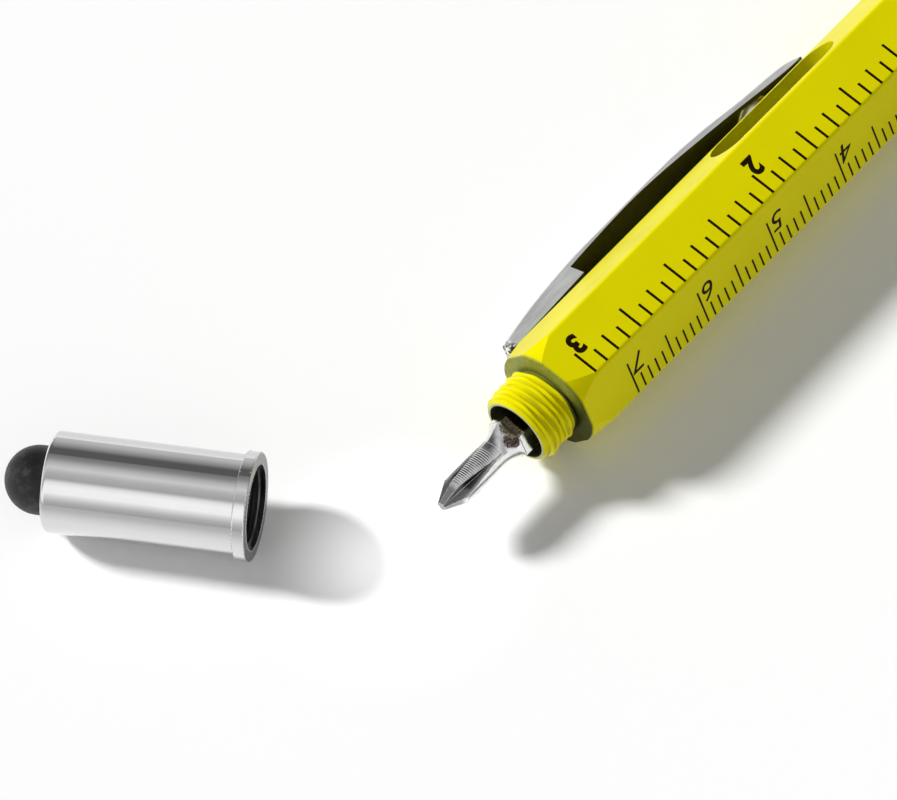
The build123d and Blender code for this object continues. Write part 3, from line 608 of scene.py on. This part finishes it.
YELLOW = lacquer()
CAP_CHROME = cap_chrome()
CHROME = polished("polished_chrome", (0.86, 0.86, 0.865), 0.05, 0.11)
CLIP_METAL = clip_metal()
STEEL = bit_steel()
MAGNET = polished("nickel_magnet", (0.66, 0.64, 0.60), 0.16, 0.3)
WIRE = polished("spring_wire", (0.62, 0.62, 0.63), 0.14, 0.26)
EDGE_SHINE = polished("worn_edge", (0.93, 0.93, 0.93), 0.10, 0.2)
BRASS = turned_metal("turned_brass", (0.80, 0.60, 0.27), 0.16, 0.3, 0.15 * MM, 0.004 * MM)
REFILL = turned_metal("drawn_tube", (0.66, 0.66, 0.67), 0.15, 0.28, 0.3 * MM, 0.002 * MM)
BLACK_PLASTIC = moulded("black_plastic", (0.006, 0.006, 0.006), 0.38, 0.55)
WHITE_PLASTIC = moulded("white_plastic", (0.78, 0.78, 0.75), 0.35, 0.5)
INK = moulded("refill_ink", (0.008, 0.008, 0.020), 0.15, 0.3)
RUBBER = rubber()
VIAL = clear("vial_clear", (0.93, 0.97, 0.93), 0.02, 0.06, 1.49, 1.0)
FLUID = clear("vial_fluid", (0.70, 0.90, 0.05), 0.01, 0.04, 1.36, 0.55)
PRINT = printed_ink()

FINISHES = {
    "barrel": YELLOW,
    "nose_grip": YELLOW,
    "bit_socket": BLACK_PLASTIC,
    "vial_plugs": BLACK_PLASTIC,
    "cap_liner": BLACK_PLASTIC,
    "stylus_seat": BLACK_PLASTIC,
    "bit_magnet": MAGNET,
    "bit": STEEL,
    "vial_tube": VIAL,
    "vial_fluid": FLUID,
    "clip": CLIP_METAL,
    "clip_anchor": CLIP_METAL,
    "clip_pin": WIRE,
    "clip_spring": WIRE,
    "guide_sleeve": BRASS,
    "twist_cam": BRASS,
    "refill_point": BRASS,
    "follower": WHITE_PLASTIC,
    "refill_tube": REFILL,
    "refill_ball": REFILL,
    "refill_ink": INK,
    "nose_ring": CHROME,
    "nose_cone": CHROME,
    "cap_shell": CAP_CHROME,
    "stylus_tip": RUBBER,
}
for name, finish in FINISHES.items():
    for place in NODES[name].material_slots:
        place.material = finish


# Pieces


def on_facet(index, x, across, lift):
    """Point on a facet, or on the rounding of its ridge, lifted off the surface."""
    normal, side = facet_frame(index)
    past = max(0.0, abs(across) - FLAT_HALF)
    drop = RIDGE_RADIUS - sqrt(max(0.0, RIDGE_RADIUS ** 2 - past ** 2))
    lean = past / RIDGE_RADIUS * (1 if across > 0 else -1)
    out = (normal * sqrt(1 - lean ** 2) + side * lean) * lift
    return Vector((x, 0, 0)) + normal * (APOTHEM - drop) + side * across + out


def skin(mesh, rows, ring=False):
    """Faces between rows of vertices that each go round, closed into a ring or by a face at each end."""
    following_rows = rows[1:] + rows[:1] if ring else rows[1:]
    for row, following in zip(rows, following_rows):
        for i in range(len(row)):
            j = (i + 1) % len(row)
            mesh.faces.new((row[i], row[j], following[j], following[i]))
    if not ring:
        mesh.faces.new(rows[0])
        mesh.faces.new(rows[-1])


def piece(name, mesh, finish, body, smooth=False):
    """Object from a bmesh, with its finish, riding on its body if it is given one."""
    data = bpy.data.meshes.new(name)
    bmesh.ops.recalc_face_normals(mesh, faces=mesh.faces)
    mesh.to_mesh(data)
    mesh.free()
    data.materials.append(finish)
    for face in data.polygons:
        face.use_smooth = smooth
    made = bpy.data.objects.new(name, data)
    bpy.context.scene.collection.objects.link(made)
    if body:
        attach(made, body)
    return made


def add_line(mesh, index, x, start, end, width):
    """Printed line across a facet, as a closed thin plate that follows the ridge's rounding."""
    stops = [start, FLAT_HALF, (FLAT_HALF + end) / 2, end]
    corners = ((-1, -PRINT_SINK), (1, -PRINT_SINK), (1, PRINT_LIFT), (-1, PRINT_LIFT))
    skin(mesh, [
        [mesh.verts.new(on_facet(index, x + side * width / 2, across, lift)) for side, lift in corners]
        for across in stops
    ])


def scale(name, facet, start, step, lines, edge, width, ranks):
    """Printed lines of a scale, each as long as its rank asks."""
    mesh = bmesh.new()
    for count in range(lines):
        reach = next(reach for every, reach in ranks if count % every == 0)
        add_line(mesh, facet, start + step * count, reach, edge, width)
    piece(name, mesh, PRINT, "pen_barrel")


def number_mesh(text, weight, slant):
    """Mesh of a number, one unit high and as thick as the print."""
    letters = bpy.data.curves.new("number", "FONT")
    letters.body = text
    letters.align_x = "CENTER"
    letters.align_y = "CENTER"
    letters.offset = weight
    letters.shear = slant
    letters.extrude = (PRINT_LIFT + PRINT_SINK) / 2 / NUMBER_HEIGHT
    letters.resolution_u = 6
    holder = bpy.data.objects.new("number", letters)
    bpy.context.scene.collection.objects.link(holder)
    bpy.context.view_layer.update()
    drawn = bpy.data.meshes.new_from_object(holder)
    bpy.data.objects.remove(holder)
    bpy.data.curves.remove(letters)
    return drawn


def numbers(name, facet, highest, start, step, across, weight, widen, slant):
    """Numbers printed on a facet, from the highest down to 1, their feet away from the ticks."""
    normal, side = facet_frame(facet)
    turn = Matrix.Identity(4)
    for column, way in enumerate((Vector((-1, 0, 0)) * widen, side, normal)):
        for row in range(3):
            turn[row][column] = way[row] * NUMBER_HEIGHT
    mesh = bmesh.new()
    for count in range(highest):
        drawn = number_mesh(str(highest - count), weight, slant)
        centre = on_facet(facet, start + step * count, across, (PRINT_LIFT - PRINT_SINK) / 2)
        drawn.transform(Matrix.Translation(centre) @ turn)
        mesh.from_mesh(drawn)
        bpy.data.meshes.remove(drawn)
    piece(name, mesh, PRINT, "pen_barrel")


def thread(name, finish, body, slot, start, way, across, root, crest, pitch, begin, end):
    """Thread ridge wound on an axis from root to crest, worn unevenly and faded at both ends."""
    upright = way.cross(across)
    count = int(THREAD_STEPS * (end - begin) / pitch)
    mesh = bmesh.new()
    rows = []
    for step in range(count + 1):
        turn = step / THREAD_STEPS
        angle = 2 * pi * turn
        fade = min(1.0, turn * 3, (count - step) / THREAD_STEPS * 3)
        out = across * cos(angle) + upright * sin(angle)
        middle = begin + pitch * (turn + THREAD_WANDER * sin(WANDER_RATE * angle))
        wear = sin(WEAR_RATES[0] * angle) + sin(WEAR_RATES[1] * angle + 1) - 1
        height = (crest - root) * (1 + THREAD_WEAR * wear) * fade
        rows.append([
            mesh.verts.new(start + way * (middle + share * pitch) + out * (root + height * rise))
            for share, rise in THREAD_SHAPE
        ])
    skin(mesh, rows)
    piece(name, mesh, finish, body, smooth=True)


def bit_flare():
    """Flare turned between the bit's shank and its six-sided body, whose flats cut it."""
    steps = 28
    around = 180
    corner = BIT_APOTHEM / cos(pi / 6)
    inner = 0.8 * BIT_SHANK
    profile = [(FLARE_END, inner), (FLARE_START, inner)]
    for step in range(steps + 1):
        share = step / steps
        reach = BIT_SHANK + (corner - BIT_SHANK) * share ** 2
        profile.append((FLARE_START + (FLARE_END - FLARE_START) * share, reach))
    mesh = bmesh.new()
    rows = []
    for x, reach in profile:
        row = []
        for count in range(around):
            angle = 2 * pi * count / around
            off = (angle + radians(ROLL) + pi / 6) % (pi / 3) - pi / 6
            radius = min(reach, BIT_APOTHEM / cos(off)) + FLARE_LIFT
            row.append(mesh.verts.new((x, radius * sin(angle), radius * cos(angle))))
        rows.append(row)
    skin(mesh, rows, ring=True)
    piece("bit_flare", mesh, STEEL, "bit", smooth=True)


def level_lines():
    """Two black rings round the level's tube, one each side of the bubble."""
    steps = 72
    low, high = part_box("vial_tube")
    radius = (high.z - low.z) / 2
    corners = (
        (-LEVEL_LINE_HALF, -LEVEL_LINE_SINK), (LEVEL_LINE_HALF, -LEVEL_LINE_SINK),
        (LEVEL_LINE_HALF, LEVEL_LINE_LIFT), (-LEVEL_LINE_HALF, LEVEL_LINE_LIFT),
    )
    mesh = bmesh.new()
    for side in (-1, 1):
        middle = (low.x + high.x) / 2 + side * LEVEL_LINE_PLACE
        rows = []
        for step in range(steps):
            angle = 2 * pi * step / steps
            out = Vector((0, cos(angle), sin(angle)))
            rows.append([
                mesh.verts.new(Vector((middle + shift, 0, 0)) + out * (radius + lift))
                for shift, lift in corners
            ])
        skin(mesh, rows, ring=True)
    piece("level_lines", mesh, PRINT, "pen_barrel")


def bending_spring():
    """The model's spring of the clip, as a piece on no body, in place of the model's own node."""
    mesh = bmesh.new()
    mesh.from_mesh(NODES["clip_spring"].data)
    made = piece("spring_wire", mesh, WIRE, None, smooth=True)
    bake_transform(made)
    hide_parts("clip_spring")


def add_bead(mesh, first, last, radius):
    """Six-sided bead along an edge, a little longer than it."""
    corners = 6
    way = (last - first).normalized()
    side = way.orthogonal().normalized()
    other = way.cross(side)
    rows = []
    for centre in (first - way * radius / 2, last + way * radius / 2):
        angles = [2 * pi * i / corners for i in range(corners)]
        rows.append([
            mesh.verts.new(centre + (side * cos(angle) + other * sin(angle)) * radius) for angle in angles
        ])
    skin(mesh, rows)


def worn_edges(name, source, body, radius, keep):
    """Thin beads along the sharp edges of a CAD node, where keep says that its finish is worn bright."""
    solid = bmesh.new()
    solid.from_mesh(NODES[source].data)
    bmesh.ops.remove_doubles(solid, verts=solid.verts, dist=0.001 * MM)
    mesh = bmesh.new()
    for edge in solid.edges:
        if len(edge.link_faces) != 2 or edge.calc_face_angle() < radians(PLAIN_FOLD):
            continue
        first, last = (vertex.co.copy() for vertex in edge.verts)
        if keep((first + last) / 2) and (last - first).length >= SHORTEST_EDGE:
            add_bead(mesh, first, last, radius)
    solid.free()
    piece(name, mesh, EDGE_SHINE, body, smooth=True)


def on_bit_tip(middle):
    """Whether an edge is on the bit's cross tip or shank."""
    return middle.x < BIT_BEADS_END


def on_cap_flange(middle):
    """Whether an edge is on the cap's mouth or flange."""
    return CAP_BEADS_DEPTH[0] < (middle - CAP_MOUTH).dot(CAP_WAY) < CAP_BEADS_DEPTH[1]


scale("inch_scale", **INCH_SCALE)
scale("centimetre_scale", **CM_SCALE)
numbers("inch_numbers", **INCH_NUMBERS)
numbers("centimetre_numbers", **CM_NUMBERS)
thread(
    "neck_thread", YELLOW, "pen_barrel", "yellow_barrel",
    Vector((0, 0, 0)), Vector((-1, 0, 0)), Vector((0, 0, -1)), **NECK_THREAD,
)
thread(
    "liner_thread", BLACK_PLASTIC, "cap", "black_plastic",
    CAP_MOUTH, CAP_WAY, CAP_WAY.cross(Vector(UP)).normalized(), **LINER_THREAD,
)
level_lines()
bit_flare()
bending_spring()
worn_edges("bit_edges", "bit", "bit", BIT_BEAD, on_bit_tip)
worn_edges("cap_edges", "cap_shell", "cap", CAP_BEAD, on_cap_flange)


# Camera, light and surroundings


def add_camera():
    """Camera where the photograph's stood."""
    data = bpy.data.cameras.new("camera")
    data.sensor_fit = "HORIZONTAL"
    data.sensor_width = CAMERA_SENSOR
    data.lens = CAMERA_LENS
    made = bpy.data.objects.new("camera", data)
    bpy.context.scene.collection.objects.link(made)
    look = (CAMERA_TARGET - CAMERA_PLACE).to_track_quat("-Z", "Y")
    made.rotation_mode = "QUATERNION"
    made.rotation_quaternion = look @ Quaternion(UP, radians(CAMERA_ROLL))
    made.location = CAMERA_PLACE
    bpy.context.scene.camera = made


def add_floor():
    """White surface under the pen."""
    mesh = bmesh.new()
    bmesh.ops.create_grid(mesh, x_segments=8, y_segments=8, size=FLOOR_HALF)
    data = bpy.data.meshes.new("floor")
    mesh.to_mesh(data)
    mesh.free()
    data.materials.append(floor_material())
    made = bpy.data.objects.new("floor", data)
    made.location = (0, 0, SURFACE)
    bpy.context.scene.collection.objects.link(made)


def add_lamp(name, kind, strength, way):
    """Lamp that shines along a direction and shows in no reflection."""
    data = bpy.data.lights.new(name, kind)
    data.energy = strength
    made = bpy.data.objects.new(name, data)
    made.rotation_mode = "QUATERNION"
    made.rotation_quaternion = way.to_track_quat("-Z", "Y")
    made.visible_glossy = False
    bpy.context.scene.collection.objects.link(made)
    return made


def add_lamps():
    """Soft key lamp from behind on the left, and a weak one over the far end of the cap's shadow."""
    key = add_lamp("key", "SUN", KEY_STRENGTH, KEY_WAY)
    key.data.angle = radians(KEY_ANGLE)
    fill = add_lamp("fill", "SPOT", FILL_POWER, FILL_TARGET - FILL_PLACE)
    fill.location = FILL_PLACE
    fill.data.spot_size = radians(FILL_CONE)
    fill.data.spot_blend = 1.0
    fill.data.shadow_soft_size = FILL_SIZE


def add_sky():
    """Studio walls for reflections, a plainer light from all round, and white for the camera."""
    world = bpy.data.worlds.new("studio")
    bpy.context.scene.world = world
    world.use_nodes = True
    tree = world.node_tree
    tree.nodes.clear()
    output = tree.nodes.new("ShaderNodeOutputWorld")
    seen = tree.nodes.new("ShaderNodeLightPath")
    way = texture(tree, "Generated")
    height = node(tree, "ShaderNodeSeparateXYZ", {0: way})
    across = vector_math(tree, "DOT_PRODUCT", way, WALLS_WAY).outputs["Value"]
    walls = ramp(tree, spread(tree, across, 0, 1, start=-1), *WALLS)
    colour = mixed(tree, between(tree, height.outputs["Z"], *HORIZON), walls, (1, 1, 1))
    horizon = spread(tree, height.outputs["Y"], SKY_FRONT, SKY_BACK, start=-1)
    lit = node(
        tree, "ShaderNodeMapRange", {"Value": height.outputs["Z"], "To Min": horizon}, To_Max=SKY_HIGH,
    )
    reflected = {"Value": seen.outputs["Is Glossy Ray"], "To Min": lit.outputs["Result"]}
    strength = node(tree, "ShaderNodeMapRange", reflected, To_Max=1)
    light = node(tree, "ShaderNodeBackground", {"Color": colour, "Strength": strength.outputs["Result"]})
    blank = node(tree, "ShaderNodeBackground", {}, Color=(1, 1, 1, 1))
    shown = {0: seen.outputs["Is Camera Ray"], 1: light.outputs[0], 2: blank.outputs[0]}
    choice = node(tree, "ShaderNodeMixShader", shown)
    tree.links.new(choice.outputs[0], output.inputs["Surface"])


add_camera()
add_floor()
add_lamps()
add_sky()
bpy.context.scene.view_settings.view_transform = "Standard"
